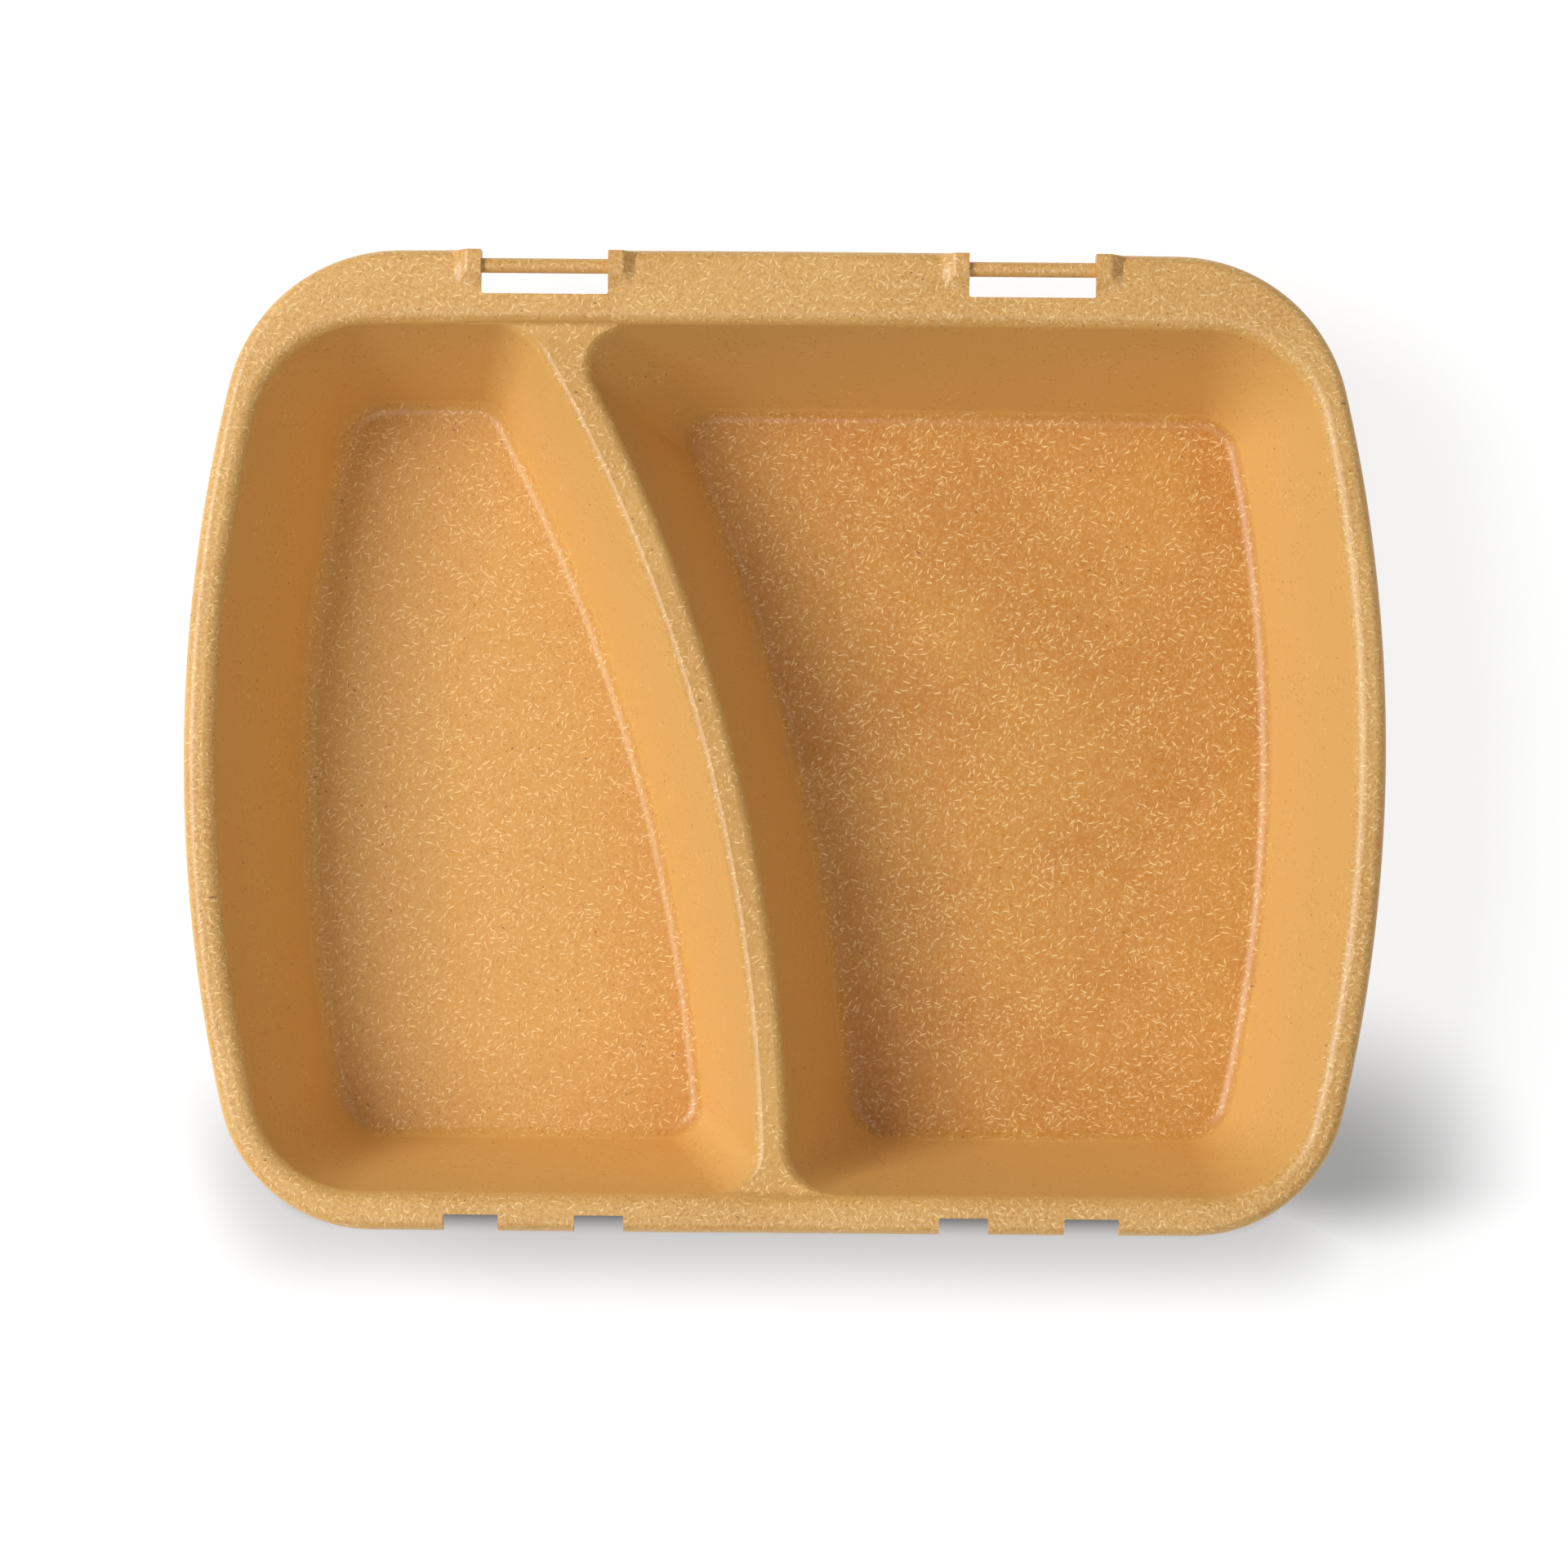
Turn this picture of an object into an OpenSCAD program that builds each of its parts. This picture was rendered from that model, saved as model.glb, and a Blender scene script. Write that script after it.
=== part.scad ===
// Base tray of a reusable two-compartment meal container, moulded in one piece.
// Millimetres. X is the width, Y runs from the latch edge (front) to the hinge edge (rear), Z is up.
// The origin is the centre of the underside, the tray stands on Z = 0.

/* [Overall] */
// Width over the bowed left and right edges
outer_width = 240; // [220:1:270]
// Depth from the front edge to the hinge edge
outer_depth = 196.6; // [184:0.2:215]
// Height from the table to the top of the rim
rim_height = 44; // [32:1:60]
// Thickness of the walls and floors
wall = 2; // [1.4:0.1:2.6]

/* [Outline] */
// Radius of the bow of the left and right edges
side_bow = 321; // [280:1:380]
// Radius of the slight bow of the rear edge
end_bow = 8000; // [6000:100:12000]
// Radius of the nearly straight front edge
front_bow = 40000; // [20000:1000:60000]
// Corner radius at the hinge edge
rear_corner = 35; // [28:0.5:42]
// Corner radius at the latch edge
front_corner = 31; // [26:0.5:40]

/* [Rim] */
// Rim width beside the compartments
rim_side = 6; // [5:0.1:9]
// Rim width at the latch edge
rim_front = 7; // [6.6:0.1:9]
// Ledge width at the hinge edge
rim_rear = 14.4; // [12.6:0.1:18]
// Thickness of the rim plate
rim_plate = 2; // [1.4:0.1:2.6]
// Rounding of the outer top edge
edge_rounding = 2.4; // [1.5:0.1:2.8]
// Rounding where the rim turns down into a compartment
lip_rounding = 2.2; // [1.4:0.1:2.4]
// Height of the turned-down skirt, from the rim top
skirt_height = 4.2; // [3.6:0.1:8]
// Thickness of the skirt
skirt_wall = 1.8; // [1.3:0.1:2.2]

/* [Divider] */
// Ridge centre on the middle line of the tray
divider_x = -14.3; // [-20:0.1:-4]
// Ridge width on the middle line of the tray
ridge_width = 4.6; // [4.2:0.1:7]
// Radius of the curved ridge
divider_bow = 343.4; // [320:0.2:370]
// Extra radius of the ridge's right edge, and less on its left edge
divider_spread = 2.8; // [2:0.05:6]
// Centre of the ridge curve, forward of the middle line
divider_centre = 91.2; // [84:0.1:98]
// Drop of the ridge top below the rim
ridge_drop = 2.8; // [2.4:0.1:6]
// Rounding of the ridge edges
ridge_rounding = 1.8; // [1:0.1:1.9]

/* [Wall slopes] */
// Run of the left wall from mouth to floor
left_run = 14.5; // [8:0.5:18]
// Run of the right wall from mouth to floor
right_run = 13.5; // [8:0.5:18]
// Run of the left compartment's rear wall
left_rear_run = 11; // [8:0.5:18]
// Run of the right compartment's rear wall
right_rear_run = 12.5; // [8:0.5:18]
// Run of the left compartment's front wall
left_front_run = 12; // [8:0.1:18]
// Run of the right compartment's front wall
right_front_run = 12.2; // [8:0.1:18]
// Run of the divider's wall in the left compartment
divider_left_run = 14.6; // [12:0.1:20]
// Run of the divider's wall in the right compartment
divider_right_run = 13.3; // [8:0.1:16]
// Floor curve radius at the divider, left compartment
left_floor_bow = 365; // [340:1:390]
// Floor curve radius at the divider, right compartment
right_floor_bow = 410; // [380:1:440]
// Centre of both floor curves, forward of the middle line
floor_centre = 104; // [96:0.5:110]
// Fillet between walls and floors
floor_fillet = 2.6; // [1.5:0.1:3]
// Rounding of the outer bottom edges
base_rounding = 4; // [2.5:0.1:4.5]

/* [Left compartment corners] */
// Mouth corner at the divider's rear end
left_mouth_divider_rear = 11; // [8:0.5:14]
// Mouth corner at the rear left
left_mouth_rear = 25; // [18:0.5:30]
// Mouth corner at the front left
left_mouth_front = 22; // [16:0.5:28]
// Mouth corner at the divider's front end
left_mouth_divider_front = 8; // [6:0.5:11]
// Floor corner at the divider's rear end
left_floor_divider_rear = 6; // [5:0.5:9]
// Floor corner at the rear left
left_floor_rear = 10; // [7:0.5:14]
// Floor corner at the front left
left_floor_front = 9; // [7:0.5:14]
// Floor corner at the divider's front end
left_floor_divider_front = 7.5; // [5:0.5:9]

/* [Right compartment corners] */
// Mouth corner at the rear right
right_mouth_rear = 24; // [18:0.5:30]
// Mouth corner at the divider's rear end
right_mouth_divider_rear = 8; // [6:0.5:11]
// Mouth corner at the divider's front end
right_mouth_divider_front = 9; // [6:0.5:12]
// Mouth corner at the front right
right_mouth_front = 21; // [16:0.5:28]
// Floor corner at the rear right
right_floor_rear = 8.5; // [6:0.5:12]
// Floor corner at the divider's rear end
right_floor_divider_rear = 7; // [5:0.5:10]
// Floor corner at the divider's front end
right_floor_divider_front = 10; // [7:0.5:13]
// Floor corner at the front right
right_floor_front = 9; // [6:0.5:12]

/* [Hinge] */
// Distance of each hinge slot's centre from the middle
hinge_x = 49; // [44:0.5:56]
// Length of each hinge slot
slot_length = 25.5; // [20:0.5:30]
// Depth of each hinge slot from the rear edge
slot_depth = 9.3; // [7.9:0.1:9.5]
// Diameter of the bar across each slot
bar_diameter = 3; // [2:0.1:3.2]
// Bar centre in from the rear edge
bar_inset = 3.6; // [3.2:0.1:4]
// Bar centre below the rim top
bar_drop = 0.6; // [0.2:0.1:0.9]
// Height of the lugs above the rim
lug_height = 2.4; // [1.5:0.1:4]
// Width of a lug at its foot
lug_foot = 4.4; // [3.2:0.1:5.5]
// Width of a lug at its top
lug_top = 2.8; // [1.8:0.1:3]
// Length of a lug, from the rear edge forward
lug_length = 8.4; // [6.5:0.1:9.5]

/* [Latch] */
// Inner end of the inner notch, from the middle
latch_inner = 31.2; // [26:0.2:36]
// Length of the inner notch
latch_inner_length = 9.8; // [8:0.1:12]
// Width of the tab between the two notches
latch_tab = 15; // [12:0.2:18]
// Length of the outer notch
latch_outer_length = 10.9; // [8:0.1:12]
// Depth of the notches from the front edge
latch_depth = 3.2; // [2.4:0.1:3.4]

/* [Hidden] */
// Points along a long side, a short side and a corner of every outline
long_steps = 10;
end_steps = 4;
corner_steps = 7;
side_steps = [long_steps, end_steps, long_steps, end_steps];
ring_size = 2 * long_steps + 2 * end_steps + 4 * corner_steps;
front_middle = 2 * long_steps + end_steps + 3 * corner_steps + end_steps / 2;
half_width = outer_width / 2;
half_depth = outer_depth / 2;
ridge_top = rim_height - ridge_drop;
// Reach of the lowered ridge strip into each compartment, past the corners at its ends
left_reach = max(left_mouth_divider_rear, left_mouth_divider_front) + wall;
right_reach = max(right_mouth_divider_rear, right_mouth_divider_front) + wall;
// Sideways thickness of the sloping walls
wall_across = wall * 1.05;
clear = wall / 4;

// A side of an outline is [centre x, centre y, radius, sense], sense 1 with the inside within the circle
function right_side(x, bow) = [x - bow, 0, bow, 1];
function left_side(x, bow) = [x + bow, 0, bow, 1];
function rear_side(y) = [0, y - end_bow, end_bow, 1];
function front_side(y) = [0, y + front_bow, front_bow, 1];
function curve_side(x, bow, forward, sense) = [x - sqrt(bow * bow - forward * forward), -forward, bow, sense];

function inset_side(s, d) = [s[0], s[1], s[2] - s[3] * d, s[3]];
function mix(a, b, t) = a + (b - a) * t;
function mix_side(a, b, t) = [mix(a[0], b[0], t), mix(a[1], b[1], t), mix(a[2], b[2], t), a[3]];

// Centre of the arc of radius r that touches two neighbouring sides
function corner_centre(a, b, r) = let(
    ca = [a[0], a[1]],
    cb = [b[0], b[1]],
    ra = a[2] - a[3] * r,
    rb = b[2] - b[3] * r,
    d = norm(cb - ca),
    u = (cb - ca) / d,
    h = (d * d + ra * ra - rb * rb) / (2 * d),
    w = sqrt(max(0, ra * ra - h * h))
) ca + h * u + a[3] * b[3] * w * [-u[1], u[0]];

function touch(s, c) = let(
    o = [s[0], s[1]],
    v = c - o
) o + s[2] * v / norm(v);

function turn(a) = a - 360 * floor(a / 360);

function arc(c, r, p, q, sense, n, z) = let(
    a = atan2(p[1] - c[1], p[0] - c[0]),
    b = atan2(q[1] - c[1], q[0] - c[0]),
    sweep = sense > 0 ? turn(b - a) : -turn(a - b)
) [for (i = [0:n - 1]) [c[0] + r * cos(a + sweep * i / n), c[1] + r * sin(a + sweep * i / n), z]];

// Points of an outline at height z, from its four sides (right, rear, left, front) and four corner radii
function ring(sides, radii, z) = let(
    cc = [for (k = [0:3]) corner_centre(sides[k], sides[(k + 1) % 4], radii[k])]
) [for (k = [0:3]) let(
    s = sides[k],
    start = touch(s, cc[(k + 3) % 4]),
    end = touch(s, cc[k]),
    next = touch(sides[(k + 1) % 4], cc[k])
) each concat(
    arc([s[0], s[1]], s[2], start, end, s[3], side_steps[k], z),
    arc(cc[k], radii[k], end, next, 1, corner_steps, z)
)];

function place(i) = ((i % ring_size) + ring_size) % ring_size;

function cap(base, up) = [for (i = [0:ring_size / 2 - 1]) let(
    a = base + place(front_middle + i),
    b = base + place(front_middle + i + 1),
    c = base + place(front_middle - i - 1),
    d = base + place(front_middle - i)
) each concat(
    b == c ? [] : [up ? [a, c, b] : [a, b, c]],
    a == d ? [] : [up ? [a, d, c] : [a, c, d]]
)];

// Closed solid through a list of rings, lowest first
module loft(rings) {
    n = len(rings);
    points = [for (r = rings) each r];
    walls = [for (j = [0:n - 2], i = [0:ring_size - 1]) let(
        a = j * ring_size + i,
        b = j * ring_size + (i + 1) % ring_size
    ) each [[a, a + ring_size, b + ring_size], [a, b + ring_size, b]]];
    polyhedron(points = points, faces = concat(cap(0, false), walls, cap((n - 1) * ring_size, true)));
}

// Outer edge of the whole tray
outer_sides = [
    right_side(half_width, side_bow),
    rear_side(half_depth),
    left_side(-half_width, side_bow),
    front_side(-half_depth)
];
outer_corners = [rear_corner, rear_corner, front_corner, front_corner];

function outer_ring(d, z) = ring(
    [for (s = outer_sides) inset_side(s, d)],
    [for (r = outer_corners) r - d],
    z
);

mouth_rear = half_depth - rim_rear;
mouth_front = -half_depth + rim_front;
mouth_bow = side_bow - rim_side;
mouth_right = half_width - rim_side;

ridge_left = curve_side(divider_x - ridge_width / 2, divider_bow - divider_spread, divider_centre, 1);
ridge_right = curve_side(divider_x + ridge_width / 2, divider_bow + divider_spread, divider_centre, -1);

left_mouth = [
    ridge_left,
    rear_side(mouth_rear),
    left_side(-mouth_right, mouth_bow),
    front_side(mouth_front)
];
left_floor = [
    curve_side(divider_x - ridge_width / 2 - divider_left_run, left_floor_bow, floor_centre, 1),
    rear_side(mouth_rear - left_rear_run),
    left_side(-mouth_right + left_run, mouth_bow),
    front_side(mouth_front + left_front_run)
];
left_mouth_corners = [left_mouth_divider_rear, left_mouth_rear, left_mouth_front, left_mouth_divider_front];
left_floor_corners = [left_floor_divider_rear, left_floor_rear, left_floor_front, left_floor_divider_front];

right_mouth = [
    right_side(mouth_right, mouth_bow),
    rear_side(mouth_rear),
    ridge_right,
    front_side(mouth_front)
];
right_floor = [
    right_side(mouth_right - right_run, mouth_bow),
    rear_side(mouth_rear - right_rear_run),
    curve_side(divider_x + ridge_width / 2 + divider_right_run, right_floor_bow, floor_centre, -1),
    front_side(mouth_front + right_front_run)
];
right_mouth_corners = [
    right_mouth_rear,
    right_mouth_divider_rear,
    right_mouth_divider_front,
    right_mouth_front
];
right_floor_corners = [
    right_floor_rear,
    right_floor_divider_rear,
    right_floor_divider_front,
    right_floor_front
];

// Outline of a compartment at height z, moved in by rim_in at the rim sides and by ridge_in at the divider
function pocket_ring(mouth, floor, mouth_r, floor_r, divider, z, rim_in, ridge_in) = let(
    t = (rim_height - z) / (rim_height - wall),
    move = [for (k = [0:3]) k == divider ? ridge_in : rim_in]
) ring(
    [for (k = [0:3]) inset_side(mix_side(mouth[k], floor[k], t), move[k])],
    [for (k = [0:3]) max(wall / 4, mix(mouth_r[k], floor_r[k], t) - (move[k] + move[(k + 1) % 4]) / 2)],
    z
);

// Heights of a compartment's hollow with the insets at the rim and at the divider
lip_turns = [0, 30, 56, 78];
hollow_levels = concat(
    [for (a = [90, 60, 30, 0]) let(d = floor_fillet * (1 - cos(a))) [wall + floor_fillet * (1 - sin(a)), d, d]],
    [for (a = lip_turns) [ridge_top - ridge_rounding * (1 - sin(a)), 0, -ridge_rounding * (1 - cos(a))]],
    [[mix(ridge_top, rim_height - lip_rounding, 0.5), 0, -ridge_rounding * 0.85]],
    [for (a = lip_turns) [
        rim_height - lip_rounding * (1 - sin(a)),
        -lip_rounding * (1 - cos(a)),
        -ridge_rounding * 0.85
    ]],
    [[rim_height + clear, -lip_rounding * 0.8 - clear, -ridge_rounding * 0.85]]
);

// Heights of the outside of a compartment
body_levels = concat(
    [for (a = [90, 60, 30, 0]) let(d = base_rounding * (1 - cos(a)) - wall_across)
        [base_rounding * (1 - sin(a)), d, d]],
    [[rim_height - rim_plate / 2, -wall_across, -wall_across]]
);

module left_pocket(levels) {
    loft([for (l = levels) pocket_ring(
        left_mouth, left_floor, left_mouth_corners, left_floor_corners, 0, l[0], l[1], l[2]
    )]);
}

module right_pocket(levels) {
    loft([for (l = levels) pocket_ring(
        right_mouth, right_floor, right_mouth_corners, right_floor_corners, 2, l[0], l[1], l[2]
    )]);
}

// Strip that follows the ridge, widened into both compartments and moved in at its two ends
function ridge_ring(left_out, right_out, end_in, r, z) = ring(
    [
        [ridge_right[0], ridge_right[1], ridge_right[2] + right_out, 1],
        rear_side(mouth_rear - end_in),
        [ridge_left[0], ridge_left[1], ridge_left[2] - left_out, -1],
        front_side(mouth_front + end_in)
    ],
    [r, r, r, r],
    z
);

module ridge_block() {
    low = ridge_ring(left_reach + wall, right_reach + wall, -wall, wall / 2, ridge_top - wall);
    high = ridge_ring(left_reach + wall, right_reach + wall, -wall, wall / 2, rim_height - rim_plate / 2);
    loft([low, high]);
}

module ridge_recess() {
    slack = wall * 0.15;
    lip = [for (a = lip_turns) ridge_ring(
        left_reach,
        right_reach,
        slack - lip_rounding * (1 - cos(a)),
        wall,
        rim_height - lip_rounding * (1 - sin(a))
    )];
    loft(concat(
        [ridge_ring(left_reach, right_reach, slack * 2, wall, ridge_top)],
        lip,
        [ridge_ring(left_reach, right_reach, slack - lip_rounding * 0.8 - clear, wall, rim_height + clear)]
    ));
}

module rim() {
    difference() {
        loft(concat(
            [outer_ring(skirt_wall / 4, rim_height - skirt_height)],
            [outer_ring(0, rim_height - skirt_height + skirt_wall / 4)],
            [for (a = [0, 22.5, 45, 67.5, 90]) outer_ring(
                edge_rounding * (1 - cos(a)),
                rim_height - edge_rounding * (1 - sin(a))
            )]
        ));
        loft([
            outer_ring(skirt_wall, rim_height - skirt_height - wall),
            outer_ring(skirt_wall, rim_height - rim_plate)
        ]);
    }
}

// Raised lug at a slot end, its slot side upright and its other side sloping; side -1 has the slot on its right
module lug(x, side) {
    back = half_depth - edge_rounding / 4;
    front = half_depth - lug_length;
    low = rim_height - rim_plate / 2;
    high = rim_height + lug_height;
    slope = (lug_foot - lug_top) * (1 + rim_plate / 2 / lug_height);
    inner = x - side * clear;
    points = [
        [inner, front - lug_height * 0.4, low],
        [x + side * (lug_top + slope), front - lug_height * 0.4, low],
        [x + side * (lug_top + slope), back, low],
        [inner, back, low],
        [inner, front + lug_height * 0.2, high],
        [x + side * lug_top, front + lug_height * 0.2, high],
        [x + side * lug_top, back, high],
        [inner, back, high]
    ];
    faces = [[0, 1, 2, 3], [4, 7, 6, 5], [0, 4, 5, 1], [1, 5, 6, 2], [2, 6, 7, 3], [3, 7, 4, 0]];
    turned = [for (f = faces) [f[3], f[2], f[1], f[0]]];
    polyhedron(points = points, faces = side > 0 ? faces : turned);
}

module hinge_slot(x) {
    translate([x - slot_length / 2, half_depth - slot_depth, rim_height - skirt_height - wall])
        cube([slot_length, slot_depth + wall, skirt_height + lug_height + 2 * wall]);
}

module hinge_bar(x) {
    translate([x - slot_length / 2 - wall / 2, half_depth - bar_inset, rim_height - bar_drop])
        rotate([0, 90, 0])
            cylinder(d = bar_diameter, h = slot_length + wall, $fn = 48);
}

module latch_notch(x, length) {
    translate([x, -half_depth - wall, rim_height - skirt_height - wall])
        cube([length, latch_depth + wall, skirt_height + 2 * wall]);
}

module tray() {
    outer_notch = latch_inner + latch_inner_length + latch_tab;
    color([0.84, 0.6, 0.31]) {
        difference() {
            union() {
                rim();
                left_pocket(body_levels);
                right_pocket(body_levels);
                ridge_block();
                for (s = [-1, 1]) {
                    lug(s * hinge_x - slot_length / 2, -1);
                    lug(s * hinge_x + slot_length / 2, 1);
                }
            }
            left_pocket(hollow_levels);
            right_pocket(hollow_levels);
            ridge_recess();
            for (s = [-1, 1]) {
                hinge_slot(s * hinge_x);
            }
            latch_notch(latch_inner, latch_inner_length);
            latch_notch(outer_notch, latch_outer_length);
            latch_notch(-latch_inner - latch_inner_length, latch_inner_length);
            latch_notch(-outer_notch - latch_outer_length, latch_outer_length);
        }
        hinge_bar(-hinge_x);
        hinge_bar(hinge_x);
    }
}

tray();
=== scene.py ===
"""Meal container base: the moulded two-compartment tray, its husk-fibre finish and the studio around it.

Sizes are in millimetres, as in the part's source, and are turned into metres where a mesh is made.
"""

import logging
import math
from dataclasses import dataclass, field
from enum import Enum

import bpy
import bmesh
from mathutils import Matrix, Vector


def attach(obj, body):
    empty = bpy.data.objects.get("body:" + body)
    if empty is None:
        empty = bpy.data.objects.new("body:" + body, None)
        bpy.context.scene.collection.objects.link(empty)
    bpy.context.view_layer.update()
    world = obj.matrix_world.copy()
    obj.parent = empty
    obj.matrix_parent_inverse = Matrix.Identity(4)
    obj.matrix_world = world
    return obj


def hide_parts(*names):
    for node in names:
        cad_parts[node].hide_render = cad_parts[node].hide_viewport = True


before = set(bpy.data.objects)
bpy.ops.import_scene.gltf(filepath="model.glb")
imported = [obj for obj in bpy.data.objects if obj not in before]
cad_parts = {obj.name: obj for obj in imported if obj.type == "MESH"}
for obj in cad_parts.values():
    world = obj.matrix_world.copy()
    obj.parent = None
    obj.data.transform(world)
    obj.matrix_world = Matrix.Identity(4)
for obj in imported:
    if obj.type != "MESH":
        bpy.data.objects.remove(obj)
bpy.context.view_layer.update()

LOG = logging.getLogger("meal_container")
MM = 0.001
Point = tuple[float, float]
Ring = list[tuple[float, float, float]]
Colour = tuple[float, float, float]
Solid = bpy.types.Object
Socket = bpy.types.NodeSocket
SMALLEST_CORNER = 0.4
TINY = 1e-6


class Hand(Enum):
    """The two compartments. The value tells which side of a compartment's outline is the divider."""

    LEFT = 0
    RIGHT = 2


class Cut(Enum):
    """How a solid is joined to the tray: added to it or taken out of it."""

    ADD = "UNION"
    REMOVE = "DIFFERENCE"


def mix(a: float, b: float, t: float) -> float:
    """Returns the value a share t of the way from a to b."""
    return a + (b - a) * t


@dataclass(frozen=True)
class Side:
    """One side of an outline: an arc of a circle, with the inside of the outline in or out of the circle."""

    x: float
    y: float
    radius: float
    sense: int = 1

    def moved_in(self, distance: float) -> "Side":
        """Returns the side moved towards the inside of its outline."""
        return Side(self.x, self.y, self.radius - self.sense * distance, self.sense)

    def toward(self, other: "Side", t: float) -> "Side":
        """Returns the side a share t of the way to another one."""
        x, y = mix(self.x, other.x, t), mix(self.y, other.y, t)
        return Side(x, y, mix(self.radius, other.radius, t), self.sense)

    def touch(self, point: Point) -> Point:
        """Returns where a corner arc around a point meets the side."""
        dx, dy = point[0] - self.x, point[1] - self.y
        size = math.hypot(dx, dy)
        return self.x + self.radius * dx / size, self.y + self.radius * dy / size


def upright(x: float, bow: float, sense: int = 1, forward: float = 0.0, left: bool = False) -> Side:
    """Makes a side that runs from front to rear.

    Args:
        x: Where it crosses the tray's middle line.
        bow: Its radius.
        sense: 1 with the inside within the circle, -1 with the inside out of it.
        forward: How far the circle's centre lies forward of the middle line.
        left: True for a left side, whose centre lies on its right.

    Returns:
        The side.
    """
    reach = math.sqrt(bow * bow - forward * forward)
    return Side(x + reach if left else x - reach, -forward, bow, sense)


def level(y: float, bow: float, front: bool = False) -> Side:
    """Makes a side that runs from left to right, bowed slightly outwards."""
    return Side(0.0, y + bow if front else y - bow, bow)


@dataclass(frozen=True)
class Fineness:
    """How many points go along each part of an outline."""

    long: int = 56
    end: int = 28
    corner: int = 22

    def along(self, side: int) -> int:
        """Returns the number of points along a side, counted from the right side on."""
        return self.long if side % 2 == 0 else self.end


@dataclass(frozen=True)
class Outline:
    """A closed outline of four bowed sides (right, rear, left, front) and four tangent corner arcs."""

    sides: tuple[Side, Side, Side, Side]
    corners: tuple[float, float, float, float]

    def moved_in(self, *distances: float) -> "Outline":
        """Returns the outline with each side moved in by its own distance, or all by the one given."""
        move = distances if len(distances) == 4 else (distances[0],) * 4
        corners = (r - (move[k] + move[(k + 1) % 4]) / 2 for k, r in enumerate(self.corners))
        return Outline(
            tuple(s.moved_in(d) for s, d in zip(self.sides, move)),
            tuple(max(SMALLEST_CORNER, r) for r in corners),
        )

    def toward(self, other: "Outline", t: float) -> "Outline":
        """Returns the outline a share t of the way to another one."""
        return Outline(
            tuple(a.toward(b, t) for a, b in zip(self.sides, other.sides)),
            tuple(mix(a, b, t) for a, b in zip(self.corners, other.corners)),
        )

    def corner_centre(self, k: int) -> Point:
        """Returns the centre of the arc that touches side k and the next one."""
        a, b, r = self.sides[k], self.sides[(k + 1) % 4], self.corners[k]
        ra, rb = a.radius - a.sense * r, b.radius - b.sense * r
        dx, dy = b.x - a.x, b.y - a.y
        d = math.hypot(dx, dy)
        ux, uy = dx / d, dy / d
        h = (d * d + ra * ra - rb * rb) / (2 * d)
        w = a.sense * b.sense * math.sqrt(max(0.0, ra * ra - h * h))
        return a.x + h * ux - w * uy, a.y + h * uy + w * ux

    def ring(self, z: float, fine: Fineness) -> Ring:
        """Lists the outline's points at a height, anticlockwise from the front end of the right side.

        Args:
            z: Height of the points.
            fine: How many points go along each part.

        Returns:
            The points.
        """
        centres = [self.corner_centre(k) for k in range(4)]
        points: Ring = []
        for k in range(4):
            side, following = self.sides[k], self.sides[(k + 1) % 4]
            start, end = side.touch(centres[k - 1]), side.touch(centres[k])
            beyond = following.touch(centres[k])
            points += arc((side.x, side.y), side.radius, start, end, side.sense, fine.along(k), z)
            points += arc(centres[k], self.corners[k], end, beyond, 1, fine.corner, z)
        return points


def arc(centre: Point, radius: float, start: Point, end: Point, sense: int, count: int, z: float) -> Ring:
    """Lists points along an arc, its start included and its end left out.

    Args:
        centre: Centre of the arc.
        radius: Radius of the arc.
        start: Where it starts.
        end: Where it ends.
        sense: 1 for anticlockwise, -1 for clockwise.
        count: Number of points.
        z: Height of the points.

    Returns:
        The points.
    """
    a = math.atan2(start[1] - centre[1], start[0] - centre[0])
    b = math.atan2(end[1] - centre[1], end[0] - centre[0])
    full = 2 * math.pi
    sweep = (b - a) % full if sense > 0 else -((a - b) % full)
    turns = [a + sweep * i / count for i in range(count)]
    return [(centre[0] + radius * math.cos(u), centre[1] + radius * math.sin(u), z) for u in turns]


def rounded(x: float, y: float, radius: float, first: float, steps: int) -> list[Point]:
    """Lists points along a quarter turn, anticlockwise.

    Args:
        x: The turn's centre along x.
        y: The turn's centre along y.
        radius: Its radius.
        first: Where it starts, in degrees.
        steps: Number of steps along it.

    Returns:
        The points, both ends included.
    """
    turns = [math.radians(first + 90 / steps * i) for i in range(steps + 1)]
    return [(x + radius * math.cos(a), y + radius * math.sin(a)) for a in turns]


def quarter(steps: int, first: float = 0.0, last: float = 90.0) -> list[Point]:
    """Lists the profile of a unit quarter round, from upright to level.

    Args:
        steps: Number of steps along it.
        first: Where it starts, in degrees.
        last: Where it ends, in degrees.

    Returns:
        Pairs of how far each point lies below the round's top and how far it has moved sideways.
    """
    turns = [math.radians(mix(first, last, i / steps)) for i in range(steps + 1)]
    return [(1 - math.sin(a), 1 - math.cos(a)) for a in turns]


def make_object(name: str, build: bmesh.types.BMesh) -> Solid:
    """Turns mesh data in millimetres into a linked object in metres."""
    for vert in build.verts:
        vert.co = vert.co * MM
    mesh = bpy.data.meshes.new(name)
    build.to_mesh(mesh)
    build.free()
    piece = bpy.data.objects.new(name, mesh)
    bpy.context.scene.collection.objects.link(piece)
    return piece


def loft(name: str, rings: list[Ring]) -> Solid:
    """Makes a closed solid through rings of equal length, the lowest first.

    Args:
        name: Name of the new object.
        rings: The rings, each anticlockwise seen from above.

    Returns:
        The solid.
    """
    build = bmesh.new()
    rows = [[build.verts.new(p) for p in ring] for ring in rings]
    count = len(rows[0])
    for low, high in zip(rows, rows[1:]):
        for i in range(count):
            j = (i + 1) % count
            build.faces.new((low[i], low[j], high[j], high[i]))
    build.faces.new(list(reversed(rows[0])))
    build.faces.new(rows[-1])
    return make_object(name, build)


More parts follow.
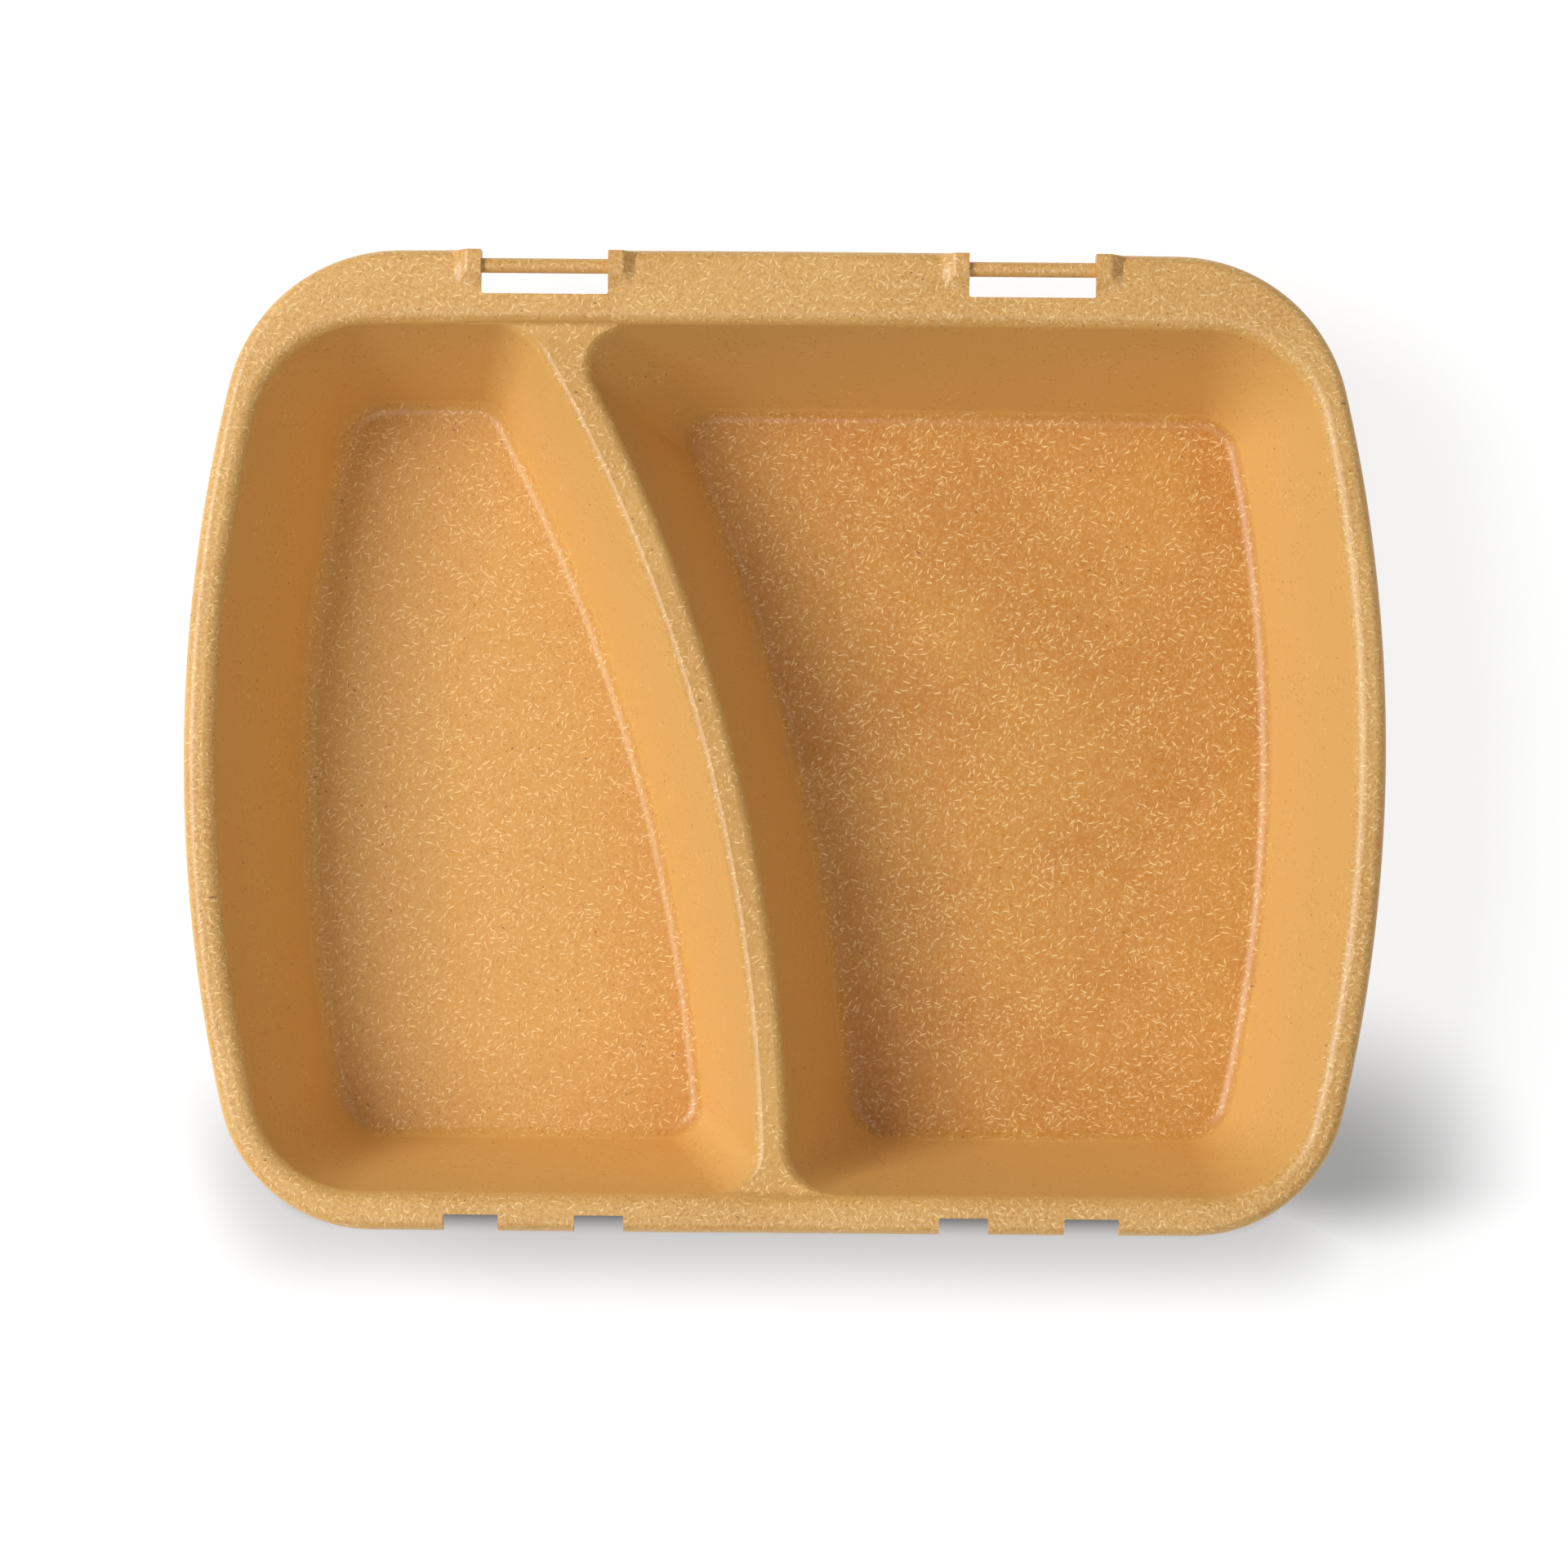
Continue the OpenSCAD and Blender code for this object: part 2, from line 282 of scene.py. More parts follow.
def combine(base: Solid, tool: Solid, cut: Cut) -> None:
    """Joins a solid to the base or takes it out, and deletes the tool.

    Args:
        base: The solid that is changed.
        tool: The solid that is added or removed.
        cut: Which of the two is done.
    """
    step = base.modifiers.new("join", "BOOLEAN")
    step.operation = cut.value
    step.solver = "MANIFOLD"
    step.object = tool
    graph = bpy.context.evaluated_depsgraph_get()
    mesh = bpy.data.meshes.new_from_object(base.evaluated_get(graph))
    base.modifiers.clear()
    old = base.data
    base.data = mesh
    bpy.data.meshes.remove(old)
    bpy.data.objects.remove(tool)


@dataclass(frozen=True)
class TraySizes:
    """Overall sizes of the tray, as in the part's source.

    The lip turn, share and margin say how far the rim's lip is rounded, in degrees, and how wide the cut above it
    is. The cut rise says how far that cut goes past the top.
    """

    width: float = 240.0
    depth: float = 196.6
    height: float = 44.0
    wall: float = 2.0
    side_bow: float = 321.0
    end_bow: float = 8000.0
    front_bow: float = 40000.0
    rear_corner: float = 35.0
    front_corner: float = 31.0
    rim_side: float = 6.0
    rim_front: float = 7.0
    rim_rear: float = 14.4
    rim_plate: float = 2.0
    edge_rounding: float = 2.4
    lip_rounding: float = 2.2
    lip_turn: float = 84.0
    lip_share: float = 0.9
    lip_margin: float = 0.3
    cut_rise: float = 0.4
    skirt_height: float = 4.2
    skirt_wall: float = 1.8
    ridge_drop: float = 2.8
    ridge_rounding: float = 1.8
    floor_fillet: float = 2.6
    base_rounding: float = 4.0

    @property
    def mouth_right(self) -> float:
        """Distance of the mouths' outer sides from the middle."""
        return self.width / 2 - self.rim_side

    @property
    def mouth_rear(self) -> float:
        """Where the mouths end at the hinge edge."""
        return self.depth / 2 - self.rim_rear

    @property
    def mouth_front(self) -> float:
        """Where the mouths end at the latch edge."""
        return self.rim_front - self.depth / 2

    @property
    def mouth_bow(self) -> float:
        """Bow radius of the mouths' outer sides."""
        return self.side_bow - self.rim_side

    @property
    def ridge_top(self) -> float:
        """Height of the divider's ridge."""
        return self.height - self.ridge_drop

    def edge(self) -> Outline:
        """Returns the outer edge of the rim."""
        half, deep = self.width / 2, self.depth / 2
        sides = (
            upright(half, self.side_bow),
            level(deep, self.end_bow),
            upright(-half, self.side_bow, left=True),
            level(-deep, self.front_bow, front=True),
        )
        return Outline(sides, (self.rear_corner, self.rear_corner, self.front_corner, self.front_corner))


@dataclass(frozen=True)
class Divider:
    """The curved divider: its two edges at the ridge and the two curves at its foot."""

    x: float = -14.3
    width: float = 4.6
    bow: float = 343.4
    spread: float = 2.8
    forward: float = 91.2
    left_run: float = 13.8
    right_run: float = 13.3
    left_floor_bow: float = 365.0
    right_floor_bow: float = 410.0
    floor_forward: float = 104.0

    def edge(self, hand: Hand) -> Side:
        """Returns the ridge's edge at one compartment."""
        if hand is Hand.LEFT:
            return upright(self.x - self.width / 2, self.bow - self.spread, 1, self.forward)
        return upright(self.x + self.width / 2, self.bow + self.spread, -1, self.forward)

    def foot(self, hand: Hand) -> Side:
        """Returns where the divider's wall meets the floor of one compartment."""
        if hand is Hand.LEFT:
            x = self.x - self.width / 2 - self.left_run
            return upright(x, self.left_floor_bow, 1, self.floor_forward)
        x = self.x + self.width / 2 + self.right_run
        return upright(x, self.right_floor_bow, -1, self.floor_forward)


@dataclass(frozen=True)
class Compartment:
    """One compartment, from its mouth to its floor.

    The runs say how far its walls lean in from mouth to floor. Corner radii go anticlockwise from the rear right.
    The ridge turn and the flare shape its lip along the divider, and the shell share is how far the solid around
    it reaches out, as a share of the wall.
    """

    hand: Hand
    sizes: TraySizes
    divider: Divider
    side_run: float
    rear_run: float
    front_run: float
    mouth_corners: tuple[float, float, float, float]
    floor_corners: tuple[float, float, float, float]
    ridge_turn: float = 80.0
    flare: float = 0.85
    shell_share: float = 1.05
    lip_steps: int = 8
    ridge_steps: int = 6
    base_steps: int = 7
    shell_steps: int = 4
    fine: Fineness = Fineness()

    def outline(self, at_floor: bool) -> Outline:
        """Returns the compartment's outline at the mouth or at the floor."""
        s = self.sizes
        runs = (self.side_run, self.rear_run, self.front_run)
        side, rear, front = runs if at_floor else (0.0, 0.0, 0.0)
        divide = self.divider.foot(self.hand) if at_floor else self.divider.edge(self.hand)
        back = level(s.mouth_rear - rear, s.end_bow)
        fore = level(s.mouth_front + front, s.front_bow, front=True)
        corners = self.floor_corners if at_floor else self.mouth_corners
        if self.hand is Hand.LEFT:
            outer = upright(side - s.mouth_right, s.mouth_bow, left=True)
            return Outline((divide, back, outer, fore), corners)
        return Outline((upright(s.mouth_right - side, s.mouth_bow), back, divide, fore), corners)

    def ring(self, z: float, rim_in: float, ridge_in: float) -> Ring:
        """Lists the compartment's outline at a height.

        Args:
            z: Height of the outline.
            rim_in: How far the three sides at the rim are moved in.
            ridge_in: How far the side at the divider is moved in.

        Returns:
            The points.
        """
        s = self.sizes
        t = (s.height - z) / (s.height - s.wall)
        shape = self.outline(False).toward(self.outline(True), t)
        move = [rim_in] * 4
        move[self.hand.value] = ridge_in
        return shape.moved_in(*move).ring(z, self.fine)

    def hollow(self) -> Solid:
        """Makes the space inside the compartment, with its floor fillet and its two lips."""
        s = self.sizes
        flare = -self.flare * s.ridge_rounding
        start = s.wall + s.floor_fillet
        below = s.ridge_top - s.ridge_rounding
        steps = self.ridge_steps
        rings = [self.ring(s.wall + s.floor_fillet * up, s.floor_fillet * across, s.floor_fillet * across)
                 for up, across in reversed(quarter(self.lip_steps))]
        rings += [self.ring(mix(start, below, i / steps), 0, 0) for i in range(1, steps)]
        rings += [self.ring(s.ridge_top - s.ridge_rounding * down, 0, -s.ridge_rounding * out)
                  for down, out in quarter(steps, 0, self.ridge_turn)]
        rings += [self.ring(mix(s.ridge_top, s.height - s.lip_rounding, 0.5), 0, flare)]
        rings += [self.ring(s.height - s.lip_rounding * down, -s.lip_rounding * out, flare)
                  for down, out in quarter(self.lip_steps, 0, s.lip_turn)]
        rings += [self.ring(s.height + s.cut_rise, -s.lip_rounding * s.lip_share - s.lip_margin, flare)]
        return loft(f"hollow_{self.hand.name.lower()}", rings)

    def shell(self) -> Solid:
        """Makes the solid that the compartment is sunk into."""
        s = self.sizes
        out, bend, steps = -self.shell_share * s.wall, s.base_rounding, self.shell_steps
        rings = [self.ring(bend * up, out + bend * across, out + bend * across)
                 for up, across in reversed(quarter(self.base_steps))]
        top = s.height - s.rim_plate / 2
        rings += [self.ring(mix(bend, top, i / steps), out, out) for i in range(1, steps + 1)]
        return loft(f"shell_{self.hand.name.lower()}", rings)


@dataclass(frozen=True)
class Ridge:
    """The lowered top of the divider and its ends in the rim.

    The slack keeps the recess's ends clear of the compartments' own, the foot rounds its lower edge, and the lip
    start is where its upper rounding begins, in degrees.
    """

    sizes: TraySizes
    divider: Divider
    left_reach: float = 13.0
    right_reach: float = 11.0
    slack: float = 0.12
    foot: float = 1.4
    lip_start: float = 36.0
    smallest_rise: float = 0.01
    foot_steps: int = 5
    lip_steps: int = 8
    fine: Fineness = Fineness(56, 12, 6)

    def strip(self, grow: float, end_in: float, corner: float, z: float) -> Ring:
        """Lists the outline of a strip along the ridge that reaches into both compartments.

        Args:
            grow: How much further than usual it reaches.
            end_in: How far its two ends are moved in from the mouths' ends.
            corner: Its corner radius.
            z: Height of the outline.

        Returns:
            The points.
        """
        s, d = self.sizes, self.divider
        right, left = d.edge(Hand.RIGHT), d.edge(Hand.LEFT)
        sides = (
            Side(right.x, right.y, right.radius + self.right_reach + grow, 1),
            level(s.mouth_rear - end_in, s.end_bow),
            Side(left.x, left.y, left.radius - self.left_reach - grow, -1),
            level(s.mouth_front + end_in, s.front_bow, front=True),
        )
        return Outline(sides, (corner,) * 4).ring(z, self.fine)

    def block(self) -> Solid:
        """Makes the web that closes the top of the divider."""
        s = self.sizes
        low, high = s.ridge_top - s.wall, s.height - s.rim_plate / 2
        return loft("ridge_web", [self.strip(s.wall, -s.wall, s.wall / 2, z) for z in (low, high)])

    def recess(self) -> Solid:
        """Makes the space above the ridge, its ends rounded into the rim like the compartments."""
        s = self.sizes
        slack, foot = self.slack, self.foot
        rings = [self.strip(0, slack + foot * across, s.wall, s.ridge_top + foot * up)
                 for up, across in reversed(quarter(self.foot_steps))]
        lowest = s.ridge_top + foot + self.smallest_rise
        for down, out in quarter(self.lip_steps, self.lip_start, s.lip_turn):
            z = max(s.height - s.lip_rounding * down, lowest)
            rings.append(self.strip(0, slack - s.lip_rounding * out, s.wall, z))
        end_in = slack - s.lip_rounding * s.lip_share - s.lip_margin
        rings.append(self.strip(0, end_in, s.wall, s.height + s.cut_rise))
        return loft("ridge_recess", rings)


@dataclass(frozen=True)
class Rim:
    """The rim plate with its rounded edge and short skirt. The inset keeps it within the solid's own edge."""

    sizes: TraySizes
    inset: float = 0.01
    skirt_rounding: float = 0.45
    skirt_steps: int = 3
    edge_steps: int = 10
    fine: Fineness = Fineness(72, 48, 28)

    def plate(self) -> Solid:
        """Makes the outside of the rim."""
        s, edge, bend = self.sizes, self.sizes.edge().moved_in(self.inset), self.skirt_rounding
        low = s.height - s.skirt_height
        rings = [edge.moved_in(bend * across).ring(low + bend * up, self.fine)
                 for up, across in reversed(quarter(self.skirt_steps))]
        rings += [edge.moved_in(s.edge_rounding * out).ring(s.height - s.edge_rounding * down, self.fine)
                  for down, out in quarter(self.edge_steps)]
        return loft("tray", rings)

    def underside(self) -> Solid:
        """Makes the space under the rim, inside the skirt."""
        s, inside = self.sizes, self.sizes.edge().moved_in(self.sizes.skirt_wall)
        heights = (s.height - s.skirt_height - s.wall, s.height - s.rim_plate)
        return loft("under_rim", [inside.ring(z, self.fine) for z in heights])


@dataclass(frozen=True)
class Hinge:
    """The hinge edge: two slots, the bar across each, and a lug at each slot end.

    The lug's lead and lag say, as shares of its height, how far its front slope starts before its length and ends
    after it. The overlaps are how far bars reach into the lugs and lugs into the slots.
    """

    sizes: TraySizes
    x: float = 49.0
    slot_length: float = 25.5
    slot_depth: float = 9.3
    bar_diameter: float = 3.0
    bar_inset: float = 3.6
    bar_drop: float = 0.6
    lug_height: float = 2.0
    lug_foot: float = 5.4
    lug_top: float = 3.0
    lug_length: float = 8.4
    lug_lead: float = 0.4
    lug_lag: float = 1.5
    lug_bevel: float = 0.5
    bevel_segments: int = 3
    bevel_profile: float = 0.5
    lug_overlap: float = 0.5
    bar_overlap: float = 1.0
    bar_facets: int = 40
    slot_corner: float = 0.5
    corner_steps: int = 4

    def slot(self, side: int) -> Solid:
        """Makes the space of one slot, on side -1 or 1."""
        s = self.sizes
        near, far = s.depth / 2 - self.slot_depth, s.depth / 2 + s.wall
        low, high = s.height - s.skirt_height - s.wall, s.height + self.lug_height + s.wall
        middle, half, corner = side * self.x, self.slot_length / 2, self.slot_corner
        shape = [(middle + half, far), (middle - half, far)]
        shape += rounded(middle - half + corner, near + corner, corner, 180, self.corner_steps)
        shape += rounded(middle + half - corner, near + corner, corner, 270, self.corner_steps)
        return loft("hinge_slot", [[(x, y, z) for x, y in shape] for z in (low, high)])

    def bar(self, side: int) -> Solid:
        """Makes the bar across one slot, its ends inside the lugs."""
        s = self.sizes
        build = bmesh.new()
        y, z, r = s.depth / 2 - self.bar_inset, s.height - self.bar_drop, self.bar_diameter / 2
        middle, half = side * self.x, self.slot_length / 2
        ends = (middle - half - self.bar_overlap, middle + half + self.bar_overlap)
        turns = [math.tau * i / self.bar_facets for i in range(self.bar_facets)]
        rows = [[build.verts.new((x, y + r * math.cos(a), z + r * math.sin(a))) for a in turns] for x in ends]
        for i in range(self.bar_facets):
            j = (i + 1) % self.bar_facets
            build.faces.new((rows[0][i], rows[0][j], rows[1][j], rows[1][i]))
        build.faces.new(rows[1])
        build.faces.new(list(reversed(rows[0])))
        bmesh.ops.recalc_face_normals(build, faces=build.faces)
        return make_object("hinge_bar", build)

    def lug(self, side: int, end: int) -> Solid:
        """Makes the lug at one end of one slot.

        Args:
            side: Which slot, -1 on the left or 1 on the right.
            end: Which end of the slot, -1 or 1.

        Returns:
            The lug, its slot side overlapping the slot so that the slot's cut trims it.
        """
        s = self.sizes
        x = side * self.x + end * self.slot_length / 2
        low, high = s.height - s.rim_plate / 2, s.height + self.lug_height
        back = s.depth / 2 - s.edge_rounding / 4
        front = s.depth / 2 - self.lug_length
        slope = (self.lug_foot - self.lug_top) * (1 + s.rim_plate / 2 / self.lug_height)
        inner = x - end * self.lug_overlap
        build = bmesh.new()
        foot_x, top_x = x + end * (self.lug_top + slope), x + end * self.lug_top
        foot_y, top_y = front - self.lug_height * self.lug_lead, front + self.lug_height * self.lug_lag
        corners = [(inner, foot_y, low), (foot_x, foot_y, low), (foot_x, back, low), (inner, back, low),
                   (inner, top_y, high), (top_x, top_y, high), (top_x, back, high), (inner, back, high)]
        verts = [build.verts.new(c) for c in corners]
        for f in ((0, 1, 2, 3), (4, 7, 6, 5), (0, 4, 5, 1), (1, 5, 6, 2), (2, 6, 7, 3), (3, 7, 4, 0)):
            build.faces.new([verts[i] for i in f])
        outer = [e for e in build.edges if not all(abs(v.co.x - inner) < TINY for v in e.verts)
                 and not all(abs(v.co.z - low) < TINY for v in e.verts)]
        bmesh.ops.bevel(build, geom=outer, offset=self.lug_bevel, segments=self.bevel_segments,
                        affect="EDGES", profile=self.bevel_profile)
        bmesh.ops.recalc_face_normals(build, faces=build.faces)
        return make_object("hinge_lug", build)


@dataclass(frozen=True)
class LatchEdge:
    """The two latch tabs at the front, each between two notches."""

    sizes: TraySizes
    inner: float = 31.2
    inner_length: float = 9.8
    tab: float = 15.0
    outer_length: float = 10.9
    depth: float = 3.2
    corner: float = 0.35
    corner_steps: int = 3

    def notches(self) -> list[Solid]:
        """Makes the spaces of the four notches."""
        far = self.inner + self.inner_length + self.tab
        spans = [(self.inner, self.inner + self.inner_length), (far, far + self.outer_length)]
        spans += [(-b, -a) for a, b in spans]
        return [self.notch(a, b) for a, b in spans]

    def notch(self, a: float, b: float) -> Solid:
        """Makes one notch between two places along the front edge, its inner corners rounded."""
        s, corner = self.sizes, self.corner
        near, far = self.depth - s.depth / 2, -s.depth / 2 - s.wall
        shape = [(a, far), (b, far)]
        shape += rounded(b - corner, near - corner, corner, 0, self.corner_steps)
        shape += rounded(a + corner, near - corner, corner, 90, self.corner_steps)
        low, high = s.height - s.skirt_height - s.wall, s.height + s.wall
        return loft("latch_notch", [[(x, y, z) for x, y in shape] for z in (low, high)])


@dataclass
class NodeMaker:
    """Adds and links shader nodes to one material, laid out in rows in its editor."""

    material: bpy.types.Material
    count: int = 0
    columns: int = 12
    column_width: int = 180
    row_height: int = 220

    def add(self, kind: str, **settings: object) -> bpy.types.Node:
        """Adds a node.

        Args:
            kind: The node's type name, without ShaderNode in front.
            settings: Attributes to set on it.

        Returns:
            The node.
        """
        node = self.material.node_tree.nodes.new("ShaderNode" + kind)
        for key, value in settings.items():
            setattr(node, key, value)
        row, column = divmod(self.count, self.columns)
        node.location = (self.column_width * column, -self.row_height * row)
        self.count += 1
        return node

    def feed(self, value: object, socket: Socket) -> None:
        """Links an output to an input, or sets the input when given a plain value."""
        if isinstance(value, Socket):
            self.material.node_tree.links.new(value, socket)
        else:
            socket.default_value = value

    def fill(self, node: bpy.types.Node, values: dict[str, object]) -> None:
        """Feeds a node's inputs by name."""
        for name, value in values.items():
            self.feed(value, node.inputs[name])

    def split(self, value: object) -> list[Socket]:
        """Returns the three parts of a vector."""
        node = self.add("SeparateXYZ")
        self.feed(value, node.inputs[0])
        return list(node.outputs)

    def maths(self, operation: str, a: object, b: object = 0.0, c: object = 0.0) -> Socket:
        """Returns the result of a sum on up to three numbers."""
        node = self.add("Math", operation=operation)
        for value, socket in zip((a, b, c), node.inputs):
            self.feed(value, socket)
        return node.outputs[0]

    def vector(self, operation: str, a: object, b: object = (0.0, 0.0, 0.0)) -> Socket:
        """Does a sum on vectors.

        Args:
            operation: Which sum.
            a: The first vector.
            b: The second vector, or the factor of a scaling.

        Returns:
            Output for the result.
        """
        node = self.add("VectorMath", operation=operation)
        self.feed(a, node.inputs[0])
        if operation == "SCALE":
            self.feed(b, node.inputs["Scale"])
        elif operation != "NORMALIZE":
            self.feed(b, node.inputs[1])
        return node.outputs["Value"] if operation == "DOT_PRODUCT" else node.outputs[0]

    def flatten(self, value: object, normal: object) -> Socket:
        """Returns a vector with its part along the normal taken out, so that it lies in the surface."""
        lift = self.vector("SCALE", normal, self.vector("DOT_PRODUCT", value, normal))
        return self.vector("SUBTRACT", value, lift)

    def turned(self, value: object, angles: tuple[float, float, float]) -> Socket:
        """Returns a vector turned about the three axes by angles in radians."""
        node = self.add("VectorRotate", rotation_type="EULER_XYZ")
        self.fill(node, {"Vector": value, "Rotation": angles})
        return node.outputs[0]

    def ramp(self, value: object, low: float, high: float,
             first: float = 0.0, last: float = 1.0) -> Socket:
        """Returns a value that goes smoothly from first to last as the input goes from low to high."""
        node = self.add("MapRange", interpolation_type="SMOOTHSTEP")
        for given, socket in zip((value, low, high, first, last), node.inputs):
            self.feed(given, socket)
        return node.outputs[0]

    def blend(self, factor: object, a: object, b: object) -> Socket:
        """Returns a colour mixed from two by a factor."""
        node = self.add("Mix", data_type="RGBA")
        self.feed(factor, node.inputs[0])
        self.feed(a, node.inputs[6])
        self.feed(b, node.inputs[7])
        return node.outputs[2]

    def noise(self, place: object, scale: float, detail: float = 2.0,
              roughness: float = 0.5) -> bpy.types.Node:
        """Returns a noise texture node read at a place."""
        node = self.add("TexNoise", noise_dimensions="3D")
        self.fill(node, {"Vector": place, "Scale": scale, "Detail": detail, "Roughness": roughness})
        return node


def linear(red: float, green: float, blue: float) -> tuple[float, float, float, float]:
    """Turns a screen colour of 0 to 255 a channel into the linear colour that a shader takes."""
    def channel(value: float) -> float:
        """Turns one channel linear."""
        share = value / 255
        return share / 12.92 if share <= 0.04045 else ((share + 0.055) / 1.055) ** 2.4
    return channel(red), channel(green), channel(blue), 1.0


@dataclass(frozen=True)
class Fibres:
    """One scatter of short fibres that lie flat in the surface.

    Spacing, length and width are in millimetres. The share says how many of the fibres are kept on level faces,
    the wall share how many on upright ones, and the rim share how many more on the rim. The scatter's cells are
    moved by the shift and turned by the turn, so that they line up neither with the tray nor with each other.
    """

    spacing: float
    length: float
    width: float
    colour: Colour
    strength: float
    share: float
    rim_share: float
    wall_share: float
    shift: tuple[float, float, float]
    turn: tuple[float, float, float]


@dataclass(frozen=True)
class HuskPlastic:
    """Satin plastic filled with husk fibres: warm ochre ground, pale and dark short fibres, rare specks.

    Colours are screen colours of 0 to 255. Each ground is mixed from its deep and its plain colour in broad
    patches, the low ones near the floors. The low ones are painted shade, darker and deeper on the floors than on
    the rim, and the low left one is painted light, paler towards the left floor. The walls' smooth colour is
    their own tone, painted lighter as well. A pair of numbers is where a smooth change starts and ends: of height
    or of x in millimetres, of how level a face is, or of a noise's value. Scales are per millimetre.
    """

    ground: Colour = (203, 154, 81)
    deep: Colour = (195, 144, 72)
    # Painted shade: the floors are painted darker and deeper than the rim, in place of the dim light low in the
    # compartments.
    shaded_low_ground: Colour = (193, 132, 50)
    shaded_low_deep: Colour = (185, 121, 40)
    # Painted light: the left floor is painted paler, as lit more by the nearer key lamp.
    lit_low_left: Colour = (203, 148, 69)
    # The upright walls' colour: their own smoother tone, also painted lighter in place of the glow and grazing
    # reflection they show.
    smooth: Colour = (225, 176, 99)
    pale: Colour = (216, 174, 112)
    roughness: float = 0.44
    roughness_spread: float = 0.14
    specular: float = 0.6
    bump_strength: float = 0.25
    bump_height: float = 0.0001
    level_faces: Point = (0.3, 0.95)
    rim_heights: Point = (41.3, 43.7)
    floor_shade_heights: Point = (8.0, 34.0)
    lit_left_places: Point = (10.0, -50.0)
    broad_scale: float = 0.03
    broad_values: Point = (0.38, 0.62)
    fine_scale: float = 1.3
    fine_roughness: float = 0.6
    fine_values: Point = (0.35, 0.7)
    veil: float = 0.26
    rim_veil: float = 0.46
    wander_scale: float = 0.8
    wander: float = 0.3
    patch_scale: float = 0.07
    patch_values: Point = (0.3, 0.7)
    patch_change: float = 0.12
    fade: float = 0.05
    shortest: float = 0.55
    fibre_edge: Point = (1.1, 0.5)
    scatters: tuple[Fibres, ...] = (
        Fibres(spacing=1.10, length=0.46, width=0.15, colour=(222, 174, 102), strength=0.40, share=0.46,
               rim_share=0.22, wall_share=0.16, shift=(0.0, 0.0, 0.0), turn=(0.6, 0.9, 0.4)),
        Fibres(spacing=1.30, length=0.52, width=0.16, colour=(168, 106, 42), strength=0.38, share=0.42,
               rim_share=0.25, wall_share=0.14, shift=(31.7, 12.3, 5.1), turn=(0.9, 0.4, 1.1)),
        Fibres(spacing=1.25, length=0.58, width=0.14, colour=(230, 188, 118), strength=0.55, share=0.44,
               rim_share=0.20, wall_share=0.08, shift=(7.9, 43.1, 27.7), turn=(0.5, 0.7, 2.0)),
        Fibres(spacing=1.60, length=0.64, width=0.15, colour=(240, 207, 146), strength=0.75, share=0.42,
               rim_share=0.12, wall_share=0.05, shift=(63.3, 21.7, 41.9), turn=(0.8, 0.5, 2.7)),
        Fibres(spacing=5.00, length=0.26, width=0.18, colour=(104, 60, 26), strength=0.70, share=0.14,
               rim_share=0.06, wall_share=0.08, shift=(11.1, 77.7, 3.3), turn=(0.7, 0.8, 0.2)),
    )

    def draw(self, make: NodeMaker, place: Socket, normal: Socket, kind: Fibres) -> tuple[Socket, Socket]:
        """Draws one scatter of fibres, each a thin ellipse in the surface at a random place and turn.

        Args:
            make: Adds the nodes.
            place: Where the surface is, in millimetres.
            normal: Which way the surface faces.
            kind: Size and spacing of the fibres.

        Returns:
            Outputs for the mask and for a random number that each fibre keeps.
        """
        place, normal = make.turned(place, kind.turn), make.turned(normal, kind.turn)
        moved = make.vector("ADD", place, kind.shift)
        cells = make.add("TexVoronoi", voronoi_dimensions="3D", feature="F1")
        make.fill(cells, {"Vector": moved, "Scale": 1 / kind.spacing})
        away = make.flatten(make.vector("SUBTRACT", moved, cells.outputs["Position"]), normal)
        lean = make.vector("SUBTRACT", cells.outputs["Color"], (0.5, 0.5, 0.5))
        lean = make.vector("NORMALIZE", make.flatten(lean, normal))
        along = make.vector("DOT_PRODUCT", away, lean)
        along2 = make.maths("MULTIPLY", along, along)
        across2 = make.maths("SUBTRACT", make.vector("DOT_PRODUCT", away, away), along2)
        parts = make.add("SeparateColor")
        make.feed(cells.outputs["Color"], parts.inputs[0])
        size = make.maths("MULTIPLY_ADD", parts.outputs[1], kind.length, self.shortest * kind.length)
        reach = make.maths("ADD", make.maths("DIVIDE", along2, make.maths("MULTIPLY", size, size)),
                           make.maths("DIVIDE", across2, kind.width ** 2))
        return make.ramp(reach, *self.fibre_edge), parts.outputs[0]

    def ground_colour(self, make: NodeMaker, place: Socket, flat: Socket, veil: Socket) -> Socket:
        """Mixes the plastic's colour without its fibres, with painted shade on the floors and painted light on
        the walls and on the left floor.

        Args:
            make: Adds the nodes.
            place: Where the surface is, in millimetres.
            flat: How level the surface is, 0 to 1.
            veil: How much of the pale colour lies over it.

        Returns:
            Output for the colour.
        """
        x, _, z = make.split(place)
        tone = make.ramp(make.noise(place, self.broad_scale).outputs[0], *self.broad_values)
        colour = make.blend(tone, linear(*self.deep), linear(*self.ground))
        # Painted shade: low down, on the floors, the darker and deeper low colours take over.
        low = make.blend(tone, linear(*self.shaded_low_deep), linear(*self.shaded_low_ground))
        # Painted light: the floor colour turns paler towards the left.
        low = make.blend(make.ramp(x, *self.lit_left_places), low, linear(*self.lit_low_left))
        colour = make.blend(make.ramp(z, *self.floor_shade_heights), low, colour)
        # Upright faces take the wall colour, partly painted light.
        colour = make.blend(flat, linear(*self.smooth), colour)
        return make.blend(veil, colour, linear(*self.pale))

